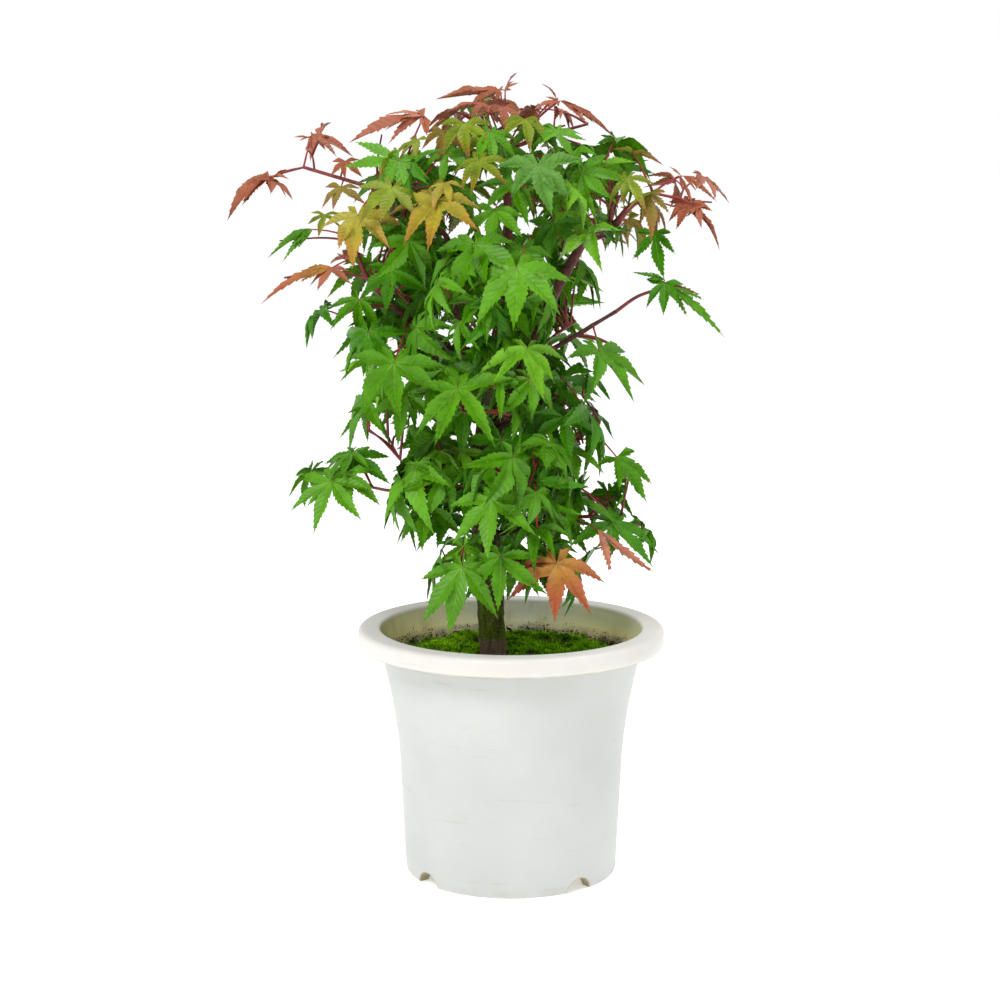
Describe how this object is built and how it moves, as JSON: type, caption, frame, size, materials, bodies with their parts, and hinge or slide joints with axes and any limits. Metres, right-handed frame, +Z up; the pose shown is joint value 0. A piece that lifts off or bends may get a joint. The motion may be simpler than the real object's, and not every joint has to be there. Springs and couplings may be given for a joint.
{
  "type": "potted japanese maple",
  "caption": "Young japanese maple in a round white nursery pot: sawn upright trunk, thin forking boughs and a loose green crown with red and bronze tips.",
  "frame": {"origin": "centre of the flat underside of the pot, on the ground plane, on the pot's middle line", "axes": "+Z up along the pot's middle line; -Y towards the front, the side that the picture shows; +X to the right seen from the front"},
  "size_m": [0.2445, 0.1754, 0.386],
  "materials": {
    "pot_plastic": "slightly glossy white plastic with faint scuffs, warmer at the rim, stained beige inside",
    "soil": "dark damp potting soil",
    "moss": "short bright green moss with brown flecks",
    "bark": "grey-brown young bark with fine upright streaks and paler flecks",
    "red_shoots": "smooth crimson young shoots and leaf stalks",
    "leaves_green": "satin green leaves with paler veins",
    "leaves_bronze": "satin bronze and olive young leaves",
    "leaves_red": "satin salmon and brick red leaves"
  },
  "bodies": {
    "root": {"bough_back_left": "bark", "bough_back_right": "bark", "bough_inner_left": "bark", "bough_left": "bark", "bough_low_front": "bark", "bough_low_left": "bark", "bough_low_right": "bark", "bough_right": "bark", "bough_waist_right": "bark", "leader": "bark", "leaves_back_tip": "leaves_green", "leaves_back_tip_left": "leaves_bronze", "leaves_back_tip_right": "leaves_bronze", "leaves_left_tip_far": "leaves_red", "leaves_left_tip_green": "leaves_green", "leaves_left_tip_high": "leaves_red", "leaves_left_tip_low": "leaves_green", "leaves_left_tip_red": "leaves_red", "leaves_low_back_left": "leaves_green", "leaves_low_back_right": "leaves_green", "leaves_low_front": "leaves_green", "leaves_low_left": "leaves_green", "leaves_low_left_tip": "leaves_green", "leaves_low_right": "leaves_green", "leaves_mid_back_left": "leaves_green", "leaves_mid_back_right": "leaves_green", "leaves_mid_front": "leaves_green", "leaves_mid_left": "leaves_green", "leaves_mid_right": "leaves_green", "leaves_mid_upper_left": "leaves_green", "leaves_right_tip_green": "leaves_green", "leaves_right_tip_red": "leaves_red", "leaves_skirt_front_left": "leaves_green", "leaves_skirt_front_right": "leaves_red", "leaves_top_back": "leaves_bronze", "leaves_top_left": "leaves_bronze", "leaves_top_left_tip": "leaves_red", "leaves_top_right": "leaves_bronze", "leaves_upper_back_left": "leaves_green", "leaves_upper_back_right": "leaves_green", "leaves_upper_front": "leaves_green", "leaves_upper_left": "leaves_green", "leaves_upper_right": "leaves_green", "leaves_waist_back": "leaves_green", "leaves_waist_front": "leaves_green", "leaves_waist_left": "leaves_green", "leaves_waist_right": "leaves_green", "moss": "moss", "pot": "pot_plastic", "shoot_left": "red_shoots", "shoot_low_left": "red_shoots", "shoot_mid_right": "red_shoots", "shoot_right": "red_shoots", "shoot_upper_left": "red_shoots", "soil": "soil", "trunk": "bark"}
  },
  "joints": []
}
